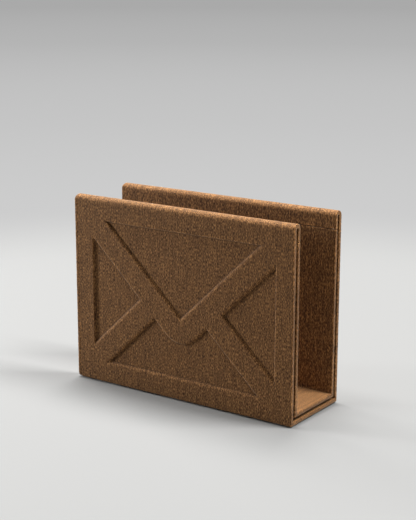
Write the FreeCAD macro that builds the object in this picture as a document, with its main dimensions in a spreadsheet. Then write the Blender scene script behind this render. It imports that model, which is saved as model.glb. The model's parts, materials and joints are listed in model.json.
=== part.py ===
import FreeCAD, Part
import os
import Sketcher

# Envelope sorter: a U-shaped casing with double walls and a sunken envelope motif on its front.
# A thinner U-shaped tray runs inside the casing and slides out of its open right end.
#
# Frame, in millimetres: X runs along the front (+X is the open end), the front faces -Y, +Z is up.
# The origin is the middle of the footprint, on the surface that the feet stand on.

SIZES = [
    # overall
    ("SorterWidth", 120.0),        # X, from the closed end to the open end
    ("SorterDepth", 40.0),         # Y, over both walls
    ("CasingHeight", 89.0),        # Z, from the underside of the casing to the top of its rolls
    # double wall, from the outside in
    ("OuterSkin", 1.9),
    ("WallGap", 1.35),
    ("TraySkin", 1.75),            # also the thickness of the casing's inner lips
    ("LipDrop", 8.0),              # from the top of the rolls down to the edge of the lips
    ("BottomEdgeRound", 0.5),
    # closed end
    ("CapThickness", 1.9),
    ("CapRound", 0.4),             # along the upright rims of its outer face
    ("CapCornerRound", 1.5),       # at the top of its rolls and along its lower rim
    ("TabClearance", 0.15),        # a cap tab to each side of the gap
    ("TabReach", 5.0),             # how far the tabs enter the gap
    ("TabBreadth", 10.0),
    ("WallTabHeight", 44.0),       # centre of the wall tabs above the casing's underside
    # sliding tray
    ("TrayEndPlay", 0.2),          # tray to end cap, when shut
    ("TrayTopPlay", 0.2),          # tray to the edge of the lips
    # strips that keep the gap
    ("GlideBreadth", 6.0),
    ("GlideSetback", 8.0),         # strip ends to the ends of the casing
    ("WallGlideClearance", 0.1),   # wall strips to the tray
    ("WallGlideHeight", 60.0),     # centre of the wall strips above the casing's underside
    ("FloorGlideInset", 8.1),      # floor strip centres to the casing's inner faces
    # feet
    ("FootHeight", 0.6),
    ("FootRadius", 4.5),
    ("FootInset", 9.0),            # foot centre to the nearest edges of the casing
    ("FootEdge", 0.15),
    # sunken envelope motif; its outlines are those of the panel floors
    ("PanelDepth", 1.05),
    ("PanelFlare", 52.0),          # lean of the panel sides away from square to the front, degrees
    ("MotifSlope", 43.3),          # rise of the flap edges and lower bands, degrees
    ("BandBreadth", 12.25),        # flap bands and lower bands, measured across
    ("FlapApexHeight", 38.65),     # inner point of the flap above the casing's underside
    ("LowerCrossHeight", 48.95),   # where the lower edges of the lower bands would cross
    ("TopFrame", 11.3),
    ("BottomFrame", 10.6),
    ("SideFrame", 9.4),
]

doc = FreeCAD.newDocument("EnvelopeSorter")
sheet = doc.addObject("Spreadsheet::Sheet", "Sizes")
for row, (alias, value) in enumerate(SIZES, start=1):
    sheet.set("A%d" % row, alias)
    sheet.set("B%d" % row, str(value))
    sheet.setAlias("B%d" % row, alias)
doc.recompute()


# ---- places that several pieces share, as expressions of the sheet's cells ----

def size(alias):
    return "Sizes." + alias


WALL = "(Sizes.OuterSkin + Sizes.WallGap + Sizes.TraySkin)"
BASE = "Sizes.FootHeight"                                      # underside of the casing
TOP = "(Sizes.FootHeight + Sizes.CasingHeight)"
FRONT = "(-Sizes.SorterDepth / 2)"
CAP_FACE = "(-Sizes.SorterWidth / 2)"                          # outer face of the end cap
CLOSED_END = "(-Sizes.SorterWidth / 2 + Sizes.CapThickness)"   # where the casing meets its cap
OPEN_END = "(Sizes.SorterWidth / 2)"
GAP_OUT = "(-Sizes.SorterDepth / 2 + Sizes.OuterSkin)"         # outer side of the front gap
GAP_IN = "(-Sizes.SorterDepth / 2 + Sizes.OuterSkin + Sizes.WallGap)"
CHANNEL = "(-Sizes.SorterDepth / 2 + %s)" % WALL               # channel side of the front wall
FLOOR_GAP_LOW = "(Sizes.FootHeight + Sizes.OuterSkin)"
FLOOR_GAP_HIGH = "(Sizes.FootHeight + Sizes.OuterSkin + Sizes.WallGap)"
CHANNEL_FLOOR = "(Sizes.FootHeight + %s)" % WALL
LIP_EDGE = "(%s - Sizes.LipDrop)" % TOP


def minus(expression):
    return "(-1 * %s)" % expression


def value_of(expression):
    return float(sheet.evalExpression(expression))


# ---- building helpers ----

def new_body(label):
    body = doc.addObject("PartDesign::Body", label)
    body.Label = label
    return body


def new_sketch(body, name, role, offset):
    """A sketch on one of the body's own origin planes, moved along the plane's normal."""
    sketch = body.newObject("Sketcher::SketchObject", name)
    plane = [feature for feature in body.Origin.OriginFeatures if feature.Role == role][0]
    sketch.AttachmentSupport = (plane, "")
    sketch.MapMode = "FlatFace"
    sketch.setExpression("AttachmentOffset.Base.z", offset)
    return sketch


def bind(sketch, kind, geometry, point, expression):
    """Fix one coordinate of a sketch point to an expression."""
    constraint = Sketcher.Constraint(kind, -1, 1, geometry, point, value_of(expression))
    index = sketch.addConstraint(constraint)
    sketch.setExpression("Constraints[%d]" % index, expression)


def draw_loop(sketch, corners, arcs=None):
    """A closed outline through corners, each a pair of expressions.

    arcs gives, for the side that starts at a corner's number, the arc's centre and whether it
    turns anticlockwise. Every other side is straight.
    """
    arcs = arcs or {}
    points = [FreeCAD.Vector(value_of(x), value_of(y), 0) for x, y in corners]
    sides = []
    for i, start in enumerate(points):
        end = points[(i + 1) % len(points)]
        if i not in arcs:
            geometry = Part.LineSegment(start, end)
            first, last = 1, 2
        else:
            (centre_x, centre_y), anticlockwise = arcs[i]
            centre = FreeCAD.Vector(value_of(centre_x), value_of(centre_y), 0)
            from_point, to_point = (start, end) if anticlockwise else (end, start)
            circle = Part.Circle(centre, FreeCAD.Vector(0, 0, 1), (start - centre).Length)
            geometry = Part.ArcOfCircle(circle, circle.parameter(from_point),
                                        circle.parameter(to_point))
            first, last = (1, 2) if anticlockwise else (2, 1)
        sides.append((sketch.addGeometry(geometry), first, last))
    for i, (side, first, last) in enumerate(sides):
        next_side, next_first, _ = sides[(i + 1) % len(sides)]
        sketch.addConstraint(Sketcher.Constraint("Coincident", side, last, next_side, next_first))
        bind(sketch, "DistanceX", side, first, corners[i][0])
        bind(sketch, "DistanceY", side, first, corners[i][1])
    for i, ((_, centre_y), _) in arcs.items():
        bind(sketch, "DistanceY", sides[i][0], 3, centre_y)


def pad(body, name, sketch, length):
    feature = body.newObject("PartDesign::Pad", name)
    feature.Profile = sketch
    feature.setExpression("Length", length)
    doc.recompute()
    return feature


def fillet(body, name, base, edges, radius):
    feature = body.newObject("PartDesign::Fillet", name)
    feature.Base = (base, edges)
    feature.setExpression("Radius", radius)
    doc.recompute()
    return feature


def edges_where(feature, test):
    """Names of the edges whose two ends both satisfy the test."""
    return ["Edge%d" % number for number, edge in enumerate(feature.Shape.Edges, start=1)
            if all(test(vertex.Point) for vertex in edge.Vertexes)]


def near(a, b):
    return abs(a - b) < 1e-4


def mirrored_outline(half):
    """A closed U outline: the corners of its front half, then the same ones mirrored in Y."""
    return half + [(minus(y), z) for y, z in reversed(half)]


# ---- the pieces ----

def make_outer_shell():
    """Outer skin whose top edges roll over the gap and come down inside as lips."""
    body = new_body("outer_shell")
    section = new_sketch(body, "ShellSection", "YZ_Plane", CLOSED_END)
    roll_axis = ("(%s + %s / 2)" % (FRONT, WALL), "(%s - %s / 2)" % (TOP, WALL))
    gap_axis = ("(%s + Sizes.WallGap / 2)" % GAP_OUT,
                "(%s - Sizes.OuterSkin - Sizes.WallGap / 2)" % TOP)
    half = [
        (FRONT, BASE),
        (FRONT, roll_axis[1]),
        (CHANNEL, roll_axis[1]),
        (CHANNEL, LIP_EDGE),
        (GAP_IN, LIP_EDGE),
        (GAP_IN, gap_axis[1]),
        (GAP_OUT, gap_axis[1]),
        (GAP_OUT, FLOOR_GAP_LOW),
    ]
    last = 2 * len(half) - 1
    rear_roll_axis = (minus(roll_axis[0]), roll_axis[1])
    rear_gap_axis = (minus(gap_axis[0]), gap_axis[1])
    draw_loop(section, mirrored_outline(half), {
        1: (roll_axis, False),
        5: (gap_axis, True),
        last - 6: (rear_gap_axis, True),
        last - 2: (rear_roll_axis, False),
    })
    casing = pad(body, "Casing", section, "%s - %s" % (OPEN_END, CLOSED_END))

    base_height = value_of(BASE)
    front = value_of(FRONT)
    bottom_edges = edges_where(
        casing, lambda p: near(p.z, base_height) and near(abs(p.y), abs(front)))
    long_edges = [name for name in bottom_edges
                  if casing.Shape.getElement(name).Length > value_of("Sizes.SorterDepth")]
    rounded = fillet(body, "BottomRounds", casing, long_edges, size("BottomEdgeRound"))

    panels = new_sketch(body, "PanelFloors", "XZ_Plane", "-1 * %s - Sizes.PanelDepth" % FRONT)
    draw_motif(panels)
    motif = body.newObject("PartDesign::Pocket", "Panels")
    motif.Profile = panels
    motif.Reversed = True
    motif.setExpression("Length", size("PanelDepth"))
    motif.setExpression("TaperAngle", size("PanelFlare"))
    doc.recompute()
    if not motif.Shape.Volume < rounded.Shape.Volume:
        raise RuntimeError("the motif's panels cut nothing")
    return body


def draw_motif(sketch):
    """Floors of the four sunken panels, between the frame, the flap and the lower bands."""
    middle = "((%s + %s) / 2)" % (CLOSED_END, OPEN_END)
    slope = "tan(Sizes.MotifSlope * 1 deg)"
    rise = "(Sizes.BandBreadth / cos(Sizes.MotifSlope * 1 deg))"   # band breadth measured upright
    flap_in = "(%s + Sizes.FlapApexHeight)" % BASE
    flap_out = "(%s - %s)" % (flap_in, rise)
    cross_low = "(%s + Sizes.LowerCrossHeight)" % BASE
    cross_high = "(%s + %s)" % (cross_low, rise)
    panel_top = "(%s - Sizes.TopFrame)" % TOP
    panel_bottom = "(%s + Sizes.BottomFrame)" % BASE
    panel_side = "(%s - Sizes.SideFrame - %s)" % (OPEN_END, middle)

    def at(side, x, z):
        return ("(%s + %d * %s)" % (middle, side, x), z)

    top_reach = "((%s - %s) / %s)" % (panel_top, flap_in, slope)
    draw_loop(sketch, [
        at(-1, top_reach, panel_top),
        at(1, "0", flap_in),
        at(1, top_reach, panel_top),
    ])

    side_apex = "((%s - %s) / 2 / %s)" % (cross_high, flap_out, slope)
    for side in (-1, 1):
        draw_loop(sketch, [
            at(side, panel_side, "(%s + %s * %s)" % (flap_out, panel_side, slope)),
            at(side, side_apex, "((%s + %s) / 2)" % (cross_high, flap_out)),
            at(side, panel_side, "(%s - %s * %s)" % (cross_high, panel_side, slope)),
        ])

    foot_reach = "((%s - %s) / %s)" % (cross_low, panel_bottom, slope)
    notch = "((%s - %s) / 2 / %s)" % (cross_low, flap_out, slope)
    notch_height = "((%s + %s) / 2)" % (cross_low, flap_out)
    tip_reach = "(Sizes.BandBreadth * sin(Sizes.MotifSlope * 1 deg))"
    tip_height = "(%s - Sizes.BandBreadth * cos(Sizes.MotifSlope * 1 deg))" % flap_in
    draw_loop(sketch, [
        at(-1, foot_reach, panel_bottom),
        at(-1, notch, notch_height),
        at(-1, tip_reach, tip_height),
        at(1, tip_reach, tip_height),
        at(1, notch, notch_height),
        at(1, foot_reach, panel_bottom),
    ], {2: ((middle, flap_in), True)})


def make_end_cap():
    """U-shaped cap with a rounded rim and tabs that enter the casing's gap."""
    body = new_body("cap_blank")
    section = new_sketch(body, "CapSection", "YZ_Plane", CAP_FACE)
    roll_height = "(%s - %s / 2)" % (TOP, WALL)
    roll_axis = ("(%s + %s / 2)" % (FRONT, WALL), roll_height)
    half = [
        (FRONT, BASE),
        (FRONT, roll_height),
        (roll_axis[0], TOP),
        (CHANNEL, roll_height),
        (CHANNEL, CHANNEL_FLOOR),
    ]
    last = 2 * len(half) - 1
    rear_roll_axis = (minus(roll_axis[0]), roll_height)
    draw_loop(section, mirrored_outline(half), {
        1: (roll_axis, False),
        2: (roll_axis, False),
        last - 3: (rear_roll_axis, False),
        last - 2: (rear_roll_axis, False),
    })
    pad(body, "Plate", section, size("CapThickness"))

    tabs = new_sketch(body, "TabSections", "YZ_Plane", CLOSED_END)
    wall_out = "(%s + Sizes.TabClearance)" % GAP_OUT
    wall_in = "(%s - Sizes.TabClearance)" % GAP_IN
    low = "(%s + Sizes.WallTabHeight - Sizes.TabBreadth / 2)" % BASE
    high = "(%s + Sizes.WallTabHeight + Sizes.TabBreadth / 2)" % BASE
    draw_loop(tabs, [(wall_out, low), (wall_in, low), (wall_in, high), (wall_out, high)])
    draw_loop(tabs, [(minus(wall_in), low), (minus(wall_out), low),
                     (minus(wall_out), high), (minus(wall_in), high)])
    floor_low = "(%s + Sizes.TabClearance)" % FLOOR_GAP_LOW
    floor_high = "(%s - Sizes.TabClearance)" % FLOOR_GAP_HIGH
    draw_loop(tabs, [(minus("Sizes.TabBreadth / 2"), floor_low), ("Sizes.TabBreadth / 2", floor_low),
                     ("Sizes.TabBreadth / 2", floor_high),
                     (minus("Sizes.TabBreadth / 2"), floor_high)])
    pad(body, "Tabs", tabs, size("TabReach"))
    return round_cap_rim(body)


def round_cap_rim(blank):
    """Round the rim of the cap's outer face, most of all at the corners seen from the front.

    The rounding grows along the arcs of the rolls. The upright rims run on from those arcs without
    a corner, so they take the arcs' lower radius and aren't listed by themselves.
    """
    outer_face, side = value_of(CAP_FACE), value_of("Sizes.SorterDepth / 2")
    top, base = value_of(TOP), value_of(BASE)
    small, large = value_of(size("CapRound")), value_of(size("CapCornerRound"))

    rounds = []
    for number, edge in enumerate(blank.Shape.Edges, start=1):
        ends = [vertex.Point for vertex in edge.Vertexes]
        on_rim = all(near(end.x, outer_face) for end in ends)
        if on_rim and isinstance(edge.Curve, Part.Circle):
            radii = [large if near(end.z, top) else small for end in ends]
            rounds.append((number, radii[0], radii[1]))
        elif on_rim and near(ends[0].z, ends[1].z):
            radius = large if near(ends[0].z, base) else small
            rounds.append((number, radius, radius))
        elif near(edge.Length, value_of(size("CapThickness"))) and all(
                near(end.z, base) and near(abs(end.y), side) for end in ends):
            radius = value_of(size("BottomEdgeRound"))
            rounds.append((number, radius, radius))

    cap = doc.addObject("Part::Fillet", "end_cap")
    cap.Label = "end_cap"
    cap.Base = blank
    cap.Edges = rounds
    doc.recompute()
    return cap


def make_letter_tray():
    """Inner U that holds the envelopes, flush with the casing's lips and open end."""
    body = new_body("letter_tray")
    start = "(%s + Sizes.TrayEndPlay)" % CLOSED_END
    section = new_sketch(body, "TraySection", "YZ_Plane", start)
    edge = "(%s - Sizes.TrayTopPlay)" % LIP_EDGE
    half = [
        (GAP_IN, FLOOR_GAP_HIGH),
        (GAP_IN, edge),
        (CHANNEL, edge),
        (CHANNEL, CHANNEL_FLOOR),
    ]
    draw_loop(section, mirrored_outline(half))
    pad(body, "Tray", section, "%s - %s" % (OPEN_END, start))
    return body


def make_box(label, corner, extent):
    box = doc.addObject("Part::Box", label)
    box.Label = label
    for axis, expression in zip("xyz", corner):
        box.setExpression("Placement.Base." + axis, expression)
    for side, expression in zip(("Length", "Width", "Height"), extent):
        box.setExpression(side, expression)
    return box


def make_glides():
    """Strips along the casing's inner faces: the floor pair carries the tray."""
    start = "(%s + Sizes.GlideSetback)" % CLOSED_END
    length = "%s - %s - 2 * Sizes.GlideSetback" % (OPEN_END, CLOSED_END)
    breadth = size("GlideBreadth")
    thickness = "(Sizes.WallGap - Sizes.WallGlideClearance)"
    low = "%s + Sizes.WallGlideHeight - Sizes.GlideBreadth / 2" % BASE
    glides = []
    for name, side in (("front", -1), ("rear", 1)):
        middle = "%d * (Sizes.SorterDepth / 2 - Sizes.OuterSkin - Sizes.FloorGlideInset)" % side
        glides.append(make_box("floor_glide_" + name,
                               (start, middle + " - Sizes.GlideBreadth / 2", FLOOR_GAP_LOW),
                               (length, breadth, size("WallGap"))))
        against = GAP_OUT if side < 0 else "%s - %s" % (minus(GAP_OUT), thickness)
        glides.append(make_box("wall_glide_" + name, (start, against, low),
                               (length, thickness, breadth)))
    return glides


def make_foot(label, side_x, side_y):
    """A thin round non-slip pad under the casing."""
    disc = doc.addObject("Part::Cylinder", label + "_disc")
    disc.setExpression("Radius", size("FootRadius"))
    disc.setExpression("Height", size("FootHeight"))
    middle = "((%s + %s) / 2)" % (CLOSED_END, OPEN_END)
    reach = "((%s - %s) / 2 - Sizes.FootInset)" % (OPEN_END, CLOSED_END)
    disc.setExpression("Placement.Base.x", "%s + %d * %s" % (middle, side_x, reach))
    disc.setExpression("Placement.Base.y",
                       "%d * (Sizes.SorterDepth / 2 - Sizes.FootInset)" % side_y)
    doc.recompute()
    foot = doc.addObject("Part::Chamfer", label)
    foot.Label = label
    foot.Base = disc
    edge = value_of(size("FootEdge"))
    rim = [number for number, candidate in enumerate(disc.Shape.Edges, start=1)
           if isinstance(candidate.Curve, Part.Circle) and near(candidate.Curve.Center.z, 0)]
    foot.Edges = [(number, edge, edge) for number in rim]
    return foot


def make_feet():
    return [make_foot("foot_%s_%s" % (row, end), side_x, side_y)
            for row, side_y in (("front", -1), ("rear", 1))
            for end, side_x in (("left", -1), ("right", 1))]


pieces = [make_outer_shell(), make_end_cap(), make_letter_tray()] + make_glides() + make_feet()
doc.recompute()

for item in doc.Objects:
    if "Invalid" in item.State or "Error" in item.State:
        raise RuntimeError("%s failed: %s" % (item.Name, item.State))
for piece in pieces:
    if piece.Shape.isNull() or not piece.Shape.isValid() or len(piece.Shape.Solids) != 1:
        raise RuntimeError("%s is not one sound solid" % piece.Label)

os.makedirs("parts", exist_ok=True)
for piece in pieces:
    piece.Shape.exportStep("parts/%s.step" % piece.Label)
    print(piece.Label, round(piece.Shape.Volume, 1), piece.Shape.BoundBox)
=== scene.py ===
import json
import math
from itertools import pairwise

import bpy
import numpy as np
from mathutils import Matrix, Vector

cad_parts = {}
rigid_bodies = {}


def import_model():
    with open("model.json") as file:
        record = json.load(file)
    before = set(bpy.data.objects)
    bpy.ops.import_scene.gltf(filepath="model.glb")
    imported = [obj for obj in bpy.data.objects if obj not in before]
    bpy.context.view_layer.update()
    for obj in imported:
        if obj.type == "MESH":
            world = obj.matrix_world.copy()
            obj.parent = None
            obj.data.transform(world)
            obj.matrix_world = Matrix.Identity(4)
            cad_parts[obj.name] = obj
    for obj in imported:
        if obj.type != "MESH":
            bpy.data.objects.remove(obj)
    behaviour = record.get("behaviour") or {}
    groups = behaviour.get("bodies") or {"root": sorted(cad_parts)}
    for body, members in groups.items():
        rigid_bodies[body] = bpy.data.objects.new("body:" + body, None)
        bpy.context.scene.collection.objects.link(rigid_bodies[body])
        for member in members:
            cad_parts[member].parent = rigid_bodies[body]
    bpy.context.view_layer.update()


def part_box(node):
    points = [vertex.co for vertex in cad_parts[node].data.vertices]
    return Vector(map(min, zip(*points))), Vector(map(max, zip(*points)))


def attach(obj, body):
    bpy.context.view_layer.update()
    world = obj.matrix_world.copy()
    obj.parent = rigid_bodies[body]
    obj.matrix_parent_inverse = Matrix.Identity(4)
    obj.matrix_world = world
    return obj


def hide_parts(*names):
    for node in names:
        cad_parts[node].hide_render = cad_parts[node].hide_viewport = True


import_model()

MM = 0.001


# ---------------------------------------------------------------- sizes, in millimetres

def node_box(node):
    """Lowest and highest corner of a node."""
    return tuple(np.array(corner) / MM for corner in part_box(node))


shell_low, shell_high = node_box("outer_shell")
tray_low, tray_high = node_box("letter_tray")

OPEN_END, CLOSED_END = shell_high[0], shell_low[0]
HALF_DEPTH = shell_high[1]
BASE, TOP = shell_low[2], shell_high[2]
TRAY_CLOSED_END, TRAY_OPEN_END = tray_low[0], tray_high[0]
TRAY_HALF, TRAY_BASE, TRAY_EDGE = tray_high[1], tray_low[2], tray_high[2]

OUTER_SKIN = 1.9
TRAY_SKIN = 1.75
LIP_DROP = 8.0
BOTTOM_ROUND, INNER_ROUND = 0.5, 0.3            # the casing's bottom bends, outside and inside
TRAY_BOTTOM_ROUND, TRAY_INNER_ROUND = 0.5, 0.4  # the tray's
CUT_ROUND = 0.35                                # softness of cut edges
COVERED_ROUND = 0.05                            # of the casing's end that the cap covers
WALL = HALF_DEPTH - TRAY_HALF + TRAY_SKIN       # both skins and the gap between them
CHANNEL_HALF = HALF_DEPTH - WALL
ROLL_HEIGHT = TOP - WALL / 2                    # axis of the rolled top edges
GAP = WALL - OUTER_SKIN - TRAY_SKIN

# The sunken motif.
MOTIF_SLOPE = math.radians(43.3)                # flap edges and lower bands
BAND_BREADTH = 12.25
FLAP_APEX_HEIGHT = 38.65
LOWER_CROSS_HEIGHT = 48.95
TOP_FRAME = 11.3
BOTTOM_FRAME = 10.6
SIDE_FRAME = 9.4
PANEL_DEPTH = 1.05
PANEL_RUN = 1.65                                # breadth of the rounded slope beside a panel's floor
SIDE_STEEPNESS = 1.8                            # how much steeper the panels' upright ends are

# The fuzzy skin's cells along a piece and round its section, and their heights.
GRAIN_CELL, GRAIN_HEIGHT = (0.45, 1.3), 0.035
TUFT_CELL, TUFT_HEIGHT = (1.1, 2.2), 0.01
FINE_SIDE_FUZZ, COARSE_SIDE_FUZZ = 1.0, 0.3     # shares of those heights on a band's two sides

# The meshes' spacings: of columns and of rows on the relief, of rows on other seen faces, and of
# the rows that are kept on a band's coarse side.
FINE, PLAIN, HIDDEN = 0.4, 1.0, 6.0

# Counts in the meshes.
PLAIN_COLUMNS = 4                               # off the relief, one column in this many is kept
LAYERS = 3                                      # across a cut face
ROUND_STEPS = 3                                 # in a rounded end or edge
ROLL_STEPS = 14
CASING_BEND_STEPS = 4
TRAY_BEND_STEPS = 3


# ---------------------------------------------------------------- camera

def make_camera():
    """The viewpoint, worked out from the casing's straight edges."""
    camera = bpy.data.objects.new("view_camera", bpy.data.cameras.new("view_camera"))
    bpy.context.collection.objects.link(camera)
    bpy.context.scene.camera = camera
    turn, dip, roll = math.radians(35.02), math.radians(13.68), math.radians(0.10)
    level_run, drop = math.cos(dip), math.sin(dip)
    forward = Vector((-math.sin(turn) * level_run, math.cos(turn) * level_run, -drop))
    camera.rotation_mode = "QUATERNION"
    level = forward.to_track_quat("-Z", "Y")
    camera.rotation_quaternion = level @ Matrix.Rotation(roll, 4, "Z").to_quaternion()
    camera.location = (0.3205, -0.4541, 0.1976)
    focal_px, picture_height_px = 1249.3, 520
    camera.data.sensor_width = 36.0
    camera.data.lens = focal_px / picture_height_px * camera.data.sensor_width


# ---------------------------------------------------------------- the fuzzy skin

def lattice_noise(u, v, cell, seed):
    """Smooth random heights between -1 and 1 on a lattice with the given cell."""
    repeat = 256
    table = np.random.RandomState(seed).uniform(-1, 1, (repeat, repeat))
    a, b = u / cell[0], v / cell[1]
    i, j = np.floor(a).astype(int), np.floor(b).astype(int)
    p, q = a - i, b - j
    p, q = p * p * (3 - 2 * p), q * q * (3 - 2 * q)

    def at(di, dj):
        return table[(i + di) % repeat, (j + dj) % repeat]

    low = at(0, 0) * (1 - p) + at(1, 0) * p
    high = at(0, 1) * (1 - p) + at(1, 1) * p
    return low * (1 - q) + high * q


def fuzz(u, v, seed):
    """Height of the fuzzy skin at u along the piece and v around its section, in millimetres."""
    grain = lattice_noise(u, v, GRAIN_CELL, seed)
    tuft = lattice_noise(u, v, TUFT_CELL, seed + 1)
    return GRAIN_HEIGHT * grain + TUFT_HEIGHT * tuft


def vectors(collection, key):
    """An attribute of three numbers of everything in a mesh's collection, as an array's rows."""
    values = np.empty(len(collection) * 3)
    collection.foreach_get(key, values)
    return values.reshape(-1, 3)


def displace(mesh, heights):
    """Move a mesh's points out along their normals by heights in millimetres."""
    places, normals = vectors(mesh.vertices, "co"), vectors(mesh.vertex_normals, "vector")
    places += normals * heights[:, None] * MM
    mesh.vertices.foreach_set("co", places.ravel())
    mesh.update()


# ---------------------------------------------------------------- the sunken motif

def outside_panels(x, z):
    """Distance from (x, z) to the nearest sunken panel's floor, negative over the floor.

    Off the panels' upright ends it counts SIDE_STEEPNESS times.
    """
    across = np.abs(x - (OPEN_END + CLOSED_END) / 2)
    tangent, cosine, sine = math.tan(MOTIF_SLOPE), math.cos(MOTIF_SLOPE), math.sin(MOTIF_SLOPE)
    flap_in = BASE + FLAP_APEX_HEIGHT
    flap_out = flap_in - BAND_BREADTH / cosine
    cross_low = BASE + LOWER_CROSS_HEIGHT
    cross_high = cross_low + BAND_BREADTH / cosine
    side = (OPEN_END - CLOSED_END) / 2 - SIDE_FRAME
    top = np.maximum(z - (TOP - TOP_FRAME), (flap_in + tangent * across - z) * cosine)
    sides = np.maximum.reduce([
        (across - side) * SIDE_STEEPNESS,
        (cross_high - tangent * across - z) * cosine,
        (z - flap_out - tangent * across) * cosine,
    ])
    along_flap = across * cosine + (z - flap_in) * sine
    from_flap = np.where(along_flap < 0, np.hypot(across, z - flap_in),
                         across * sine - (z - flap_in) * cosine)
    bottom = np.maximum.reduce([
        BASE + BOTTOM_FRAME - z,
        (z - cross_low + tangent * across) * cosine,
        BAND_BREADTH - from_flap,
    ])
    return np.minimum.reduce([top, sides, bottom])


def motif_depth(x, z):
    """How deep the front is sunk: a quarter round slope that ends in a sharp foot."""
    rise = np.clip(1 - outside_panels(x, z) / PANEL_RUN, 0, 1)
    return PANEL_DEPTH * (1 - np.sqrt(1 - rise ** 2))


def snapped_to_feet(x, z, reach):
    """Move the points that lie within reach of a slope's foot onto it, so that it stays crisp."""
    tiny = 0.01
    for _ in range(2):
        distance = outside_panels(x, z)
        slope_x = (outside_panels(x + tiny, z) - outside_panels(x - tiny, z)) / (2 * tiny)
        slope_z = (outside_panels(x, z + tiny) - outside_panels(x, z - tiny)) / (2 * tiny)
        size = np.maximum(np.hypot(slope_x, slope_z), 1e-6)
        near = np.where(np.abs(distance) < reach * size, distance / size ** 2, 0)
        x, z = x - near * slope_x, z - near * slope_z
    return x, z


# ---------------------------------------------------------------- bent bands

class Band:
    """A bent sheet's section in the YZ plane, as matched points on its fine and coarse sides."""

    def __init__(self, fine, coarse):
        self.fine, self.coarse, self.kept = [fine], [coarse], [True]

    def straight(self, fine_end, coarse_end, step):
        """Carry both sides on in straight lines."""
        start_fine, start_coarse = np.array(self.fine[-1]), np.array(self.coarse[-1])
        run_fine, run_coarse = np.array(fine_end) - start_fine, np.array(coarse_end) - start_coarse
        count = max(1, round(float(np.linalg.norm(run_fine)) / step))
        keep_every = max(1, round(HIDDEN / step))
        for i in range(1, count + 1):
            self.fine.append(tuple(start_fine + run_fine * i / count))
            self.coarse.append(tuple(start_coarse + run_coarse * i / count))
            self.kept.append(i % keep_every == 0 or i == count)

    def bend(self, fine_arc, coarse_arc, start, end, count):
        """Carry both sides round arcs, each a (centre, radius), between two angles in degrees."""
        for i in range(1, count + 1):
            angle = math.radians(start + (end - start) * i / count)
            turn = np.array((math.cos(angle), math.sin(angle)))
            for side, (centre, radius) in ((self.fine, fine_arc), (self.coarse, coarse_arc)):
                side.append(tuple(np.array(centre) + radius * turn))
            self.kept.append(True)

    def mirror(self):
        """Add the rear half, once the front half has reached the middle of the floor."""
        for side in (self.fine, self.coarse):
            side.extend([(-y, z) for y, z in reversed(side[:-1])])
        self.kept.extend(reversed(self.kept[:-1]))


def steps(low, high, step):
    """Places from low to high, about a step apart."""
    return np.linspace(low, high, max(2, round((high - low) / step) + 1))


def eased(places, round_low, round_high):
    """Places along a length, with a quarter circle at each end: (place, how far drawn in) pairs."""
    quarter = [math.pi / 2 * i / ROUND_STEPS for i in range(ROUND_STEPS + 1)]
    low, high = places[0], places[-1]
    start = [(low + round_low * (1 - math.sin(a)), round_low * (1 - math.cos(a)))
             for a in reversed(quarter)]
    end = [(high - round_high * (1 - math.sin(a)), round_high * (1 - math.cos(a)))
           for a in quarter]
    middle = [(p, 0.0) for p in places if low + round_low < p < high - round_high]
    return start + middle + end


def in_rounding(number, last):
    """Whether a row or column belongs to the rounding at the start or the end."""
    return number <= ROUND_STEPS or number >= last - ROUND_STEPS


# ---------------------------------------------------------------- lofts

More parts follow.
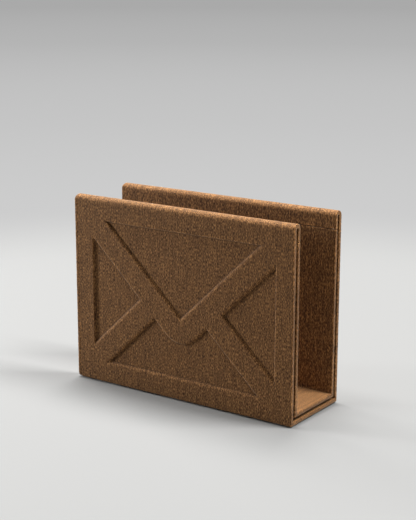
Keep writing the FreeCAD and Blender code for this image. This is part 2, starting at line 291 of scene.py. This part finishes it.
class Loft:
    """A band carried along X, with rounded ends and edges.

    Its rows go round the band's section, its columns along X, and its layers from the fine side, 0,
    to the coarse side, LAYERS. The coarse side has only the rows that the band keeps and those of
    the rounded edges.
    """

    def __init__(self, band, x_low, x_high, end_rounds):
        fine, coarse = np.array(band.fine), np.array(band.coarse)
        run = np.concatenate([[0], np.cumsum(np.linalg.norm(np.diff(fine, axis=0), axis=1))])
        self.columns = np.array(eased(list(steps(x_low, x_high, FINE)), *end_rounds))
        self.rows = np.array(eased(list(run), CUT_ROUND, CUT_ROUND))
        self.last_row, self.last_column = len(self.rows) - 1, len(self.columns) - 1

        kept_runs = set(run[np.array(band.kept)])
        self.coarse_rows = [i for i, r in enumerate(self.rows[:, 0])
                            if in_rounding(i, self.last_row) or r in kept_runs]
        self.stops = [j for j in range(self.last_column + 1)
                      if in_rounding(j, self.last_column) or j % PLAIN_COLUMNS == 0]
        self.row_is_fine = np.zeros(self.last_row + 1, bool)

        self.fine_points = self.side_points(run, fine, coarse)
        self.coarse_points = self.side_points(run, coarse, fine)
        self.points, self.fuzz_at, self.numbers = [], [], {}

    def side_points(self, run, here, there):
        """One side's points by row and column, drawn in towards the other side where rounded."""
        at = np.stack([np.interp(self.rows[:, 0], run, here[:, n]) for n in (0, 1)], 1)
        to = np.stack([np.interp(self.rows[:, 0], run, there[:, n]) for n in (0, 1)], 1) - at
        to /= np.linalg.norm(to, axis=1)[:, None]
        inset = self.rows[:, 1][:, None] + self.columns[:, 1][None, :]
        x = np.broadcast_to(self.columns[:, 0], inset.shape)
        yz = at[:, None, :] + to[:, None, :] * inset[:, :, None]
        return np.concatenate([x[:, :, None], yz], 2)

    def sink_motif(self):
        """Sink the motif into the rows that lie on the front face, and keep all their columns."""
        middle = self.last_column // 2
        self.row_is_fine = np.abs(self.fine_points[:, middle, 1] + HALF_DEPTH) < 1e-6
        face = self.fine_points[self.row_is_fine]
        x, z = snapped_to_feet(face[:, :, 0], face[:, :, 2], FINE / 2)
        sunk = outside_panels(x, z) < PANEL_RUN
        face[:, :, 0] = np.where(sunk, x, face[:, :, 0])
        face[:, :, 2] = np.where(sunk, z, face[:, :, 2])
        face[:, :, 1] += motif_depth(face[:, :, 0], face[:, :, 2])
        self.fine_points[self.row_is_fine] = face

    def vertex(self, row, column, layer=0):
        """The number of the vertex at a row, column and layer, which is made when first asked for."""
        key = (row, column, layer)
        if key not in self.numbers:
            self.numbers[key] = len(self.points)
            share = layer / LAYERS
            self.points.append(self.fine_points[row, column] * (1 - share)
                               + self.coarse_points[row, column] * share)
            outwards = 1 if column == self.last_column else -1
            self.fuzz_at.append((self.columns[column, 0] + outwards * share * WALL,
                                 self.rows[row, 0] + share * WALL,
                                 FINE_SIDE_FUZZ * (1 - share) + COARSE_SIDE_FUZZ * share))
        return self.numbers[key]

    def columns_between(self, row, start, stop):
        """The columns that a row has from one stop to the next."""
        return list(range(start, stop + 1)) if self.row_is_fine[row] else [start, stop]

    def fine_faces(self):
        """The fine side, with a many-sided face wherever a fine row meets a plain one."""
        faces = []
        for i in range(self.last_row):
            for start, stop in pairwise(self.stops):
                low = self.columns_between(i, start, stop)
                high = self.columns_between(i + 1, start, stop)
                if len(low) == len(high):
                    faces.extend([self.vertex(i, a), self.vertex(i, b),
                                  self.vertex(i + 1, b), self.vertex(i + 1, a)]
                                 for a, b in pairwise(low))
                else:
                    faces.append([self.vertex(i, j) for j in low]
                                 + [self.vertex(i + 1, j) for j in reversed(high)])
        return faces

    def coarse_faces(self):
        """The coarse side."""
        return [[self.vertex(i, a, LAYERS), self.vertex(next_i, a, LAYERS),
                 self.vertex(next_i, b, LAYERS), self.vertex(i, b, LAYERS)]
                for i, next_i in pairwise(self.coarse_rows) for a, b in pairwise(self.stops)]

    def edge_faces(self):
        """The cut faces along the band's two edges."""
        faces = []
        for i in (0, self.last_row):
            for a, b in pairwise(self.stops):
                for k in range(LAYERS):
                    corners = [self.vertex(i, a, k), self.vertex(i, a, k + 1),
                               self.vertex(i, b, k + 1), self.vertex(i, b, k)]
                    faces.append(corners if i == 0 else corners[::-1])
        return faces

    def end_faces(self):
        """The cut faces at the two ends along X. Their last layer meets the coarse side's rows."""
        faces = []
        for j in (0, self.last_column):
            for k in range(LAYERS - 1):
                for i in range(self.last_row):
                    corners = [self.vertex(i, j, k), self.vertex(i + 1, j, k),
                               self.vertex(i + 1, j, k + 1), self.vertex(i, j, k + 1)]
                    faces.append(corners if j == 0 else corners[::-1])
            for i, next_i in pairwise(self.coarse_rows):
                corners = [self.vertex(n, j, LAYERS - 1) for n in range(i, next_i + 1)]
                corners += [self.vertex(next_i, j, LAYERS), self.vertex(i, j, LAYERS)]
                faces.append(corners if j == 0 else corners[::-1])
        return faces

    def mesh(self, name, seed):
        """The loft as a closed mesh with a fuzzy skin."""
        faces = self.fine_faces() + self.coarse_faces() + self.edge_faces() + self.end_faces()
        mesh = bpy.data.meshes.new(name)
        mesh.from_pydata([point * MM for point in self.points], [], faces)
        mesh.polygons.foreach_set("use_smooth", [True] * len(mesh.polygons))
        turn_out(mesh)
        along, around, strength = np.array(self.fuzz_at).T
        displace(mesh, fuzz(along, around, seed) * strength)
        return mesh


def turn_out(mesh):
    """Turn a closed mesh's faces so that their normals point out of it."""
    mesh.update()
    centres, normals = vectors(mesh.polygons, "center"), vectors(mesh.polygons, "normal")
    areas = np.empty(len(mesh.polygons))
    mesh.polygons.foreach_get("area", areas)
    tripled_volume = (centres * normals).sum(axis=1) @ areas
    if tripled_volume < 0:
        mesh.flip_normals()
        mesh.update()


# ---------------------------------------------------------------- materials

def new_material(name):
    """A new material with one plain shader, and that shader."""
    material = bpy.data.materials.new(name)
    material.use_nodes = True
    nodes = material.node_tree.nodes
    nodes.clear()
    output = nodes.new("ShaderNodeOutputMaterial")
    shader = nodes.new("ShaderNodeBsdfPrincipled")
    material.node_tree.links.new(shader.outputs["BSDF"], output.inputs["Surface"])
    return material, shader


def srgb(red, green, blue):
    """A screen colour, 0 to 255, as the linear colour that a shader takes."""
    def linear(value):
        value /= 255
        return value / 12.92 if value <= 0.04045 else ((value + 0.055) / 1.055) ** 2.4
    return (linear(red), linear(green), linear(blue), 1.0)


def grey(level):
    """A linear grey."""
    return (level, level, level, 1.0)


def scaled_coordinates(tree, cells, shift=(0, 0, 0)):
    """The piece's own coordinates, counted in cells of the given millimetres, and shifted by cells."""
    place = tree.nodes.new("ShaderNodeTexCoord")
    scale = tree.nodes.new("ShaderNodeMapping")
    scale.inputs["Location"].default_value = shift
    scale.inputs["Scale"].default_value = [1 / (cell * MM) for cell in cells]
    tree.links.new(place.outputs["Object"], scale.inputs["Vector"])
    return scale.outputs["Vector"]


def noise(tree, coordinates, detail):
    """Noise with grains one unit of the coordinates across."""
    texture = tree.nodes.new("ShaderNodeTexNoise")
    texture.inputs["Scale"].default_value = 1.0
    texture.inputs["Detail"].default_value = detail
    tree.links.new(coordinates, texture.inputs["Vector"])
    return texture.outputs["Fac"]


def ramp(tree, value, stops):
    """A colour ramp from pairs of place and linear colour."""
    node = tree.nodes.new("ShaderNodeValToRGB")
    elements = node.color_ramp.elements
    while len(elements) < len(stops):
        elements.new(0.5)
    for element, (place, colour) in zip(elements, stops):
        element.position = place
        element.color = colour
    tree.links.new(value, node.inputs["Fac"])
    return node.outputs["Color"]


def math_node(tree, operation, first, second):
    """The outcome of an operation on two values."""
    node = tree.nodes.new("ShaderNodeMath")
    node.operation = operation
    tree.links.new(first, node.inputs[0])
    tree.links.new(second, node.inputs[1])
    return node.outputs["Value"]


def blended(tree, first, second, share):
    """The first value, with the given share of the second in it."""
    node = tree.nodes.new("ShaderNodeMix")
    node.inputs["Factor"].default_value = share
    tree.links.new(first, node.inputs["A"])
    tree.links.new(second, node.inputs["B"])
    return node.outputs["Result"]


def bump(tree, height, distance, strength):
    """A normal that follows a height, over a distance in millimetres."""
    node = tree.nodes.new("ShaderNodeBump")
    node.inputs["Distance"].default_value = distance * MM
    node.inputs["Strength"].default_value = strength
    tree.links.new(height, node.inputs["Height"])
    return node.outputs["Normal"]


def painted_rim_light_and_crease_shade(tree, colour, strength):
    """The colour with a painted highlight on rims and painted shade in creases, by up to the share
    that strength gives.
    """
    flat, reach = 0.5, 0.05     # pointiness of a flat face, and how far from it the effect is full
    raised = tree.nodes.new("ShaderNodeMapRange")
    raised.inputs["From Min"].default_value = flat - reach
    raised.inputs["From Max"].default_value = flat + reach
    raised.inputs["To Min"].default_value = 1 - strength
    raised.inputs["To Max"].default_value = 1 + strength
    pointiness = tree.nodes.new("ShaderNodeNewGeometry").outputs["Pointiness"]
    tree.links.new(pointiness, raised.inputs["Value"])
    scaled = tree.nodes.new("ShaderNodeVectorMath")
    scaled.operation = "SCALE"
    tree.links.new(colour, scaled.inputs[0])
    tree.links.new(raised.outputs["Result"], scaled.inputs["Scale"])
    return scaled.outputs["Vector"]


def fuzzy_brown(name):
    """Granular brown: upright grains and streaks, a painted highlight on rims, painted shade in
    creases, and a faint sheen.
    """
    material, shader = new_material(name)
    tree = material.node_tree
    # Whole cells from front to rear, three to a panel's depth, so that the front, the panels'
    # floors and the rear look alike. The streaks go through from front to rear.
    grain_cell = (0.3, HALF_DEPTH / round(3 * HALF_DEPTH / PANEL_DEPTH), 1.15)
    streak_cell, mid_cell = (0.5, 100, 7), (0, 0.5, 0)
    grains = noise(tree, scaled_coordinates(tree, grain_cell), detail=1.5)
    streaks = noise(tree, scaled_coordinates(tree, streak_cell, shift=mid_cell), detail=1)
    texture = blended(tree, grains, streaks, share=0.2)
    colour = ramp(tree, texture, [(0.33, srgb(44, 25, 10)), (0.5, srgb(102, 68, 37)),
                                  (0.68, srgb(174, 126, 77))])
    # By pointiness, rims get a painted highlight and creases painted shade.
    tree.links.new(painted_rim_light_and_crease_shade(tree, colour, strength=0.5), shader.inputs["Base Color"])
    tree.links.new(bump(tree, texture, distance=0.25, strength=0.8), shader.inputs["Normal"])
    shader.inputs["Roughness"].default_value = 0.7
    shader.inputs["Specular IOR Level"].default_value = 0.12
    shader.inputs["Sheen Weight"].default_value = 0.4
    shader.inputs["Sheen Roughness"].default_value = 0.4
    shader.inputs["Sheen Tint"].default_value = srgb(238, 218, 192)
    return material


def felt(name):
    """Dark felt for the glides."""
    material, shader = new_material(name)
    tree = material.node_tree
    fibre = noise(tree, scaled_coordinates(tree, (0.5, 0.3, 0.3)), detail=3)
    colour = ramp(tree, fibre, [(0.3, srgb(38, 30, 25)), (0.7, srgb(68, 56, 47))])
    tree.links.new(colour, shader.inputs["Base Color"])
    tree.links.new(bump(tree, fibre, distance=0.2, strength=0.7), shader.inputs["Normal"])
    shader.inputs["Roughness"].default_value = 1.0
    return material


def pad_rubber(name):
    """Dark grey rubber for the feet."""
    material, shader = new_material(name)
    tree = material.node_tree
    speck = noise(tree, scaled_coordinates(tree, (0.4, 0.4, 0.4)), detail=2)
    colour = ramp(tree, speck, [(0.3, srgb(42, 41, 40)), (0.7, srgb(58, 57, 55))])
    tree.links.new(colour, shader.inputs["Base Color"])
    tree.links.new(bump(tree, speck, distance=0.05, strength=0.5), shader.inputs["Normal"])
    shader.inputs["Roughness"].default_value = 0.75
    return material


# ---------------------------------------------------------------- pieces

def add_piece(name, mesh, body, nodes, material):
    """Add a mesh as a piece that rides on a body and stands for the nodes."""
    piece = bpy.data.objects.new(name, mesh)
    bpy.context.collection.objects.link(piece)
    mesh.materials.append(material)
    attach(piece, body)
    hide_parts(*nodes)


def make_casing():
    """The outer skin, with its rolled top edges and the motif in its front."""
    roll = (-HALF_DEPTH + WALL / 2, ROLL_HEIGHT)
    gap_roll = (-HALF_DEPTH + OUTER_SKIN + GAP / 2, TOP - OUTER_SKIN - GAP / 2)
    skin_in = -HALF_DEPTH + OUTER_SKIN
    lip_out = -CHANNEL_HALF - TRAY_SKIN
    corner = (-HALF_DEPTH + BOTTOM_ROUND, BASE + BOTTOM_ROUND)
    inner_corner = (skin_in + INNER_ROUND, BASE + OUTER_SKIN + INNER_ROUND)
    band = Band((-CHANNEL_HALF, TOP - LIP_DROP), (lip_out, TOP - LIP_DROP))
    band.straight((-CHANNEL_HALF, roll[1]), (lip_out, gap_roll[1]), PLAIN)
    band.bend((roll, WALL / 2), (gap_roll, GAP / 2), 0, 180, ROLL_STEPS)
    band.straight((-HALF_DEPTH, corner[1]), (skin_in, inner_corner[1]), FINE)
    band.bend((corner, BOTTOM_ROUND), (inner_corner, INNER_ROUND), 180, 270, CASING_BEND_STEPS)
    band.straight((0, BASE), (0, BASE + OUTER_SKIN), PLAIN)
    band.mirror()
    casing = Loft(band, CLOSED_END, OPEN_END, (COVERED_ROUND, CUT_ROUND))
    casing.sink_motif()
    return casing.mesh("casing_skin", seed=11)


def make_tray():
    """The inner U. Its fine side is the one that faces the channel."""
    floor_top = TRAY_BASE + TRAY_SKIN
    outer_corner = (-TRAY_HALF + TRAY_BOTTOM_ROUND, TRAY_BASE + TRAY_BOTTOM_ROUND)
    inner_corner = (-CHANNEL_HALF + TRAY_INNER_ROUND, floor_top + TRAY_INNER_ROUND)
    band = Band((-CHANNEL_HALF, TRAY_EDGE), (-TRAY_HALF, TRAY_EDGE))
    band.straight((-CHANNEL_HALF, inner_corner[1]), (-TRAY_HALF, outer_corner[1]), PLAIN)
    band.bend((inner_corner, TRAY_INNER_ROUND), (outer_corner, TRAY_BOTTOM_ROUND), 180, 270,
              TRAY_BEND_STEPS)
    band.straight((0, floor_top), (0, TRAY_BASE), PLAIN)
    band.mirror()
    tray = Loft(band, TRAY_CLOSED_END, TRAY_OPEN_END, (CUT_ROUND, CUT_ROUND))
    return tray.mesh("tray_skin", seed=31)


def soft_copy(node, voxel, strength, seed):
    """The node's solid with its edges softened and its faces made fuzzy."""
    source = next(o for o in bpy.data.objects if o.name == node)
    mesh = source.data.copy()
    mesh.transform(source.matrix_world)
    mesh.materials.clear()
    piece = bpy.data.objects.new(node + "_fuzzy", mesh)
    bpy.context.collection.objects.link(piece)
    remesh = piece.modifiers.new("even_grid", "REMESH")
    remesh.mode, remesh.voxel_size = "VOXEL", voxel * MM
    smooth = piece.modifiers.new("soft_edges", "SMOOTH")
    smooth.factor, smooth.iterations = 0.5, 1
    evaluated = piece.evaluated_get(bpy.context.evaluated_depsgraph_get())
    shape = bpy.data.meshes.new_from_object(evaluated)
    bpy.data.objects.remove(piece)
    shape.name = node + "_skin"
    shape.polygons.foreach_set("use_smooth", [True] * len(shape.polygons))
    x, y, z = (vectors(shape.vertices, "co") / MM).T
    displace(shape, strength * fuzz(x + y, z + y, seed))
    return shape


def add_soft_copies(nodes, material, voxel, strength, first_seed):
    """Stand a soft copy in for each of the nodes, which all belong to the casing."""
    for number, node in enumerate(nodes):
        mesh = soft_copy(node, voxel, strength, seed=first_seed + 5 * number)
        add_piece(node + "_soft", mesh, "casing", [node], material)


# ---------------------------------------------------------------- stage, in metres

# The paper, measured from its middle: its reach, where it starts and ends to fade into plain greys,
# and those greys by the share of the way to FAR_PAPER. The greys darken farther out, which is painted
# shade.
PAPER_HALF = 12.0
NEAR_PAPER = (0.25, 0.45)
FAR_PAPER = 5.0
FAR_GREY = 0.40
FAR_GREYS = ((0.07, 0.62), (0.19, 0.56), (0.29, 0.53), (0.48, 0.46), (0.90, FAR_GREY))

# The lamps' names, places, energies in watts and breadths. They all point at LAMP_TARGET.
LAMP_TARGET = Vector((0, 0, 0.04))
LAMPS = (
    ("overhead_rear", (-0.3, 0.5, 1.85), 33, 0.6),
    ("overhead_left", (-0.5, -0.1, 1.7), 28, 0.6),
    ("upper_left", (-1.3, 0.35, 0.9), 12, 0.5),
    ("upper_right", (0.9, 0.32, 1.45), 42, 0.5),
    ("low_left", (-1.4, -0.5, 0.35), 4, 0.3),
    ("near_left", (-0.5, -0.215, 0.155), 1.55, 0.06),
)


def looked_at(tree):
    """1 for rays that show the background itself: straight, mirrored or through glass."""
    path = tree.nodes.new("ShaderNodeLightPath")
    mirrored = math_node(tree, "MAXIMUM", path.outputs["Is Glossy Ray"],
                         path.outputs["Is Transmission Ray"])
    return math_node(tree, "MAXIMUM", path.outputs["Is Camera Ray"], mirrored)


def mixed(tree, share, first, second, output_type):
    """Show the first shader, with a share of the second, at the tree's output."""
    mix = tree.nodes.new("ShaderNodeMixShader")
    tree.links.new(share, mix.inputs["Fac"])
    tree.links.new(first, mix.inputs[1])
    tree.links.new(second, mix.inputs[2])
    output = next(node for node in tree.nodes if node.type == output_type)
    tree.links.new(mix.outputs["Shader"], output.inputs["Surface"])


def fading_paper(name):
    """Pale paper that takes light and shadow near the piece, and far away glows in greys that darken
    with distance, as painted shade.
    """
    material, shader = new_material(name)
    shader.inputs["Base Color"].default_value = srgb(129, 129, 128)
    shader.inputs["Roughness"].default_value = 0.9
    shader.inputs["Specular IOR Level"].default_value = 0.2

    tree = material.node_tree
    place = tree.nodes.new("ShaderNodeTexCoord")
    away = tree.nodes.new("ShaderNodeVectorMath")
    away.operation = "LENGTH"
    tree.links.new(place.outputs["Object"], away.inputs[0])
    reach = tree.nodes.new("ShaderNodeMapRange")
    reach.inputs["From Max"].default_value = FAR_PAPER
    tree.links.new(away.outputs["Value"], reach.inputs["Value"])
    # Painted shade: the far paper's emitted grey darkens with distance.
    shade = ramp(tree, reach.outputs["Result"], [(far, grey(level)) for far, level in FAR_GREYS])
    far_shader = tree.nodes.new("ShaderNodeEmission")
    tree.links.new(shade, far_shader.inputs["Color"])

    fade = tree.nodes.new("ShaderNodeMapRange")
    fade.interpolation_type = "SMOOTHSTEP"
    fade.inputs["From Min"].default_value, fade.inputs["From Max"].default_value = NEAR_PAPER
    tree.links.new(away.outputs["Value"], fade.inputs["Value"])
    share = math_node(tree, "MULTIPLY", fade.outputs["Result"], looked_at(tree))
    mixed(tree, share, shader.outputs["BSDF"], far_shader.outputs["Emission"], "OUTPUT_MATERIAL")
    return material


def make_stage():
    """The sheet of paper that the piece stands on."""
    half = PAPER_HALF
    mesh = bpy.data.meshes.new("paper")
    mesh.from_pydata([(-half, -half, 0), (half, -half, 0), (half, half, 0), (-half, half, 0)], [],
                     [(0, 1, 2, 3)])
    mesh.materials.append(fading_paper("pale_paper"))
    paper = bpy.data.objects.new("paper", mesh)
    bpy.context.collection.objects.link(paper)


def make_world():
    """A weak glow that fills the shadows, seen as the far paper's grey."""
    world = bpy.data.worlds.new("studio")
    bpy.context.scene.world = world
    world.use_nodes = True
    tree = world.node_tree
    glow = tree.nodes["Background"]
    glow.inputs["Color"].default_value = (0.95, 0.97, 1.0, 1)
    glow.inputs["Strength"].default_value = 0.03
    beyond = tree.nodes.new("ShaderNodeBackground")
    beyond.inputs["Color"].default_value = grey(FAR_GREY)
    mixed(tree, looked_at(tree), glow.outputs["Background"], beyond.outputs["Background"],
          "OUTPUT_WORLD")


def make_lights():
    """The studio's lamps, out of sight."""
    for name, place, energy, size in LAMPS:
        data = bpy.data.lights.new(name, "AREA")
        data.energy, data.size = energy, size
        light = bpy.data.objects.new(name, data)
        light.location = place
        light.rotation_mode = "QUATERNION"
        light.rotation_quaternion = (LAMP_TARGET - Vector(place)).to_track_quat("-Z", "Y")
        light.visible_camera = False
        bpy.context.collection.objects.link(light)


# ---------------------------------------------------------------- the whole scene

GLIDES = [f"{place}_glide_{side}" for place in ("floor", "wall") for side in ("front", "rear")]
FEET = [f"foot_{side}_{end}" for side in ("front", "rear") for end in ("left", "right")]

brown = fuzzy_brown("fuzzy_brown")
dark_felt = felt("dark_felt")
rubber = pad_rubber("pad_rubber")

make_camera()
add_piece("casing_skin", make_casing(), "casing", ["outer_shell"], brown)
add_piece("tray_skin", make_tray(), "tray", ["letter_tray"], brown)
add_soft_copies(["end_cap"], brown, voxel=0.3, strength=1.0, first_seed=50)
add_soft_copies(GLIDES, dark_felt, voxel=0.35, strength=1.0, first_seed=55)
add_soft_copies(FEET, rubber, voxel=0.15, strength=0.1, first_seed=75)
make_stage()
make_world()
make_lights()
bpy.context.scene.view_settings.view_transform = "Standard"
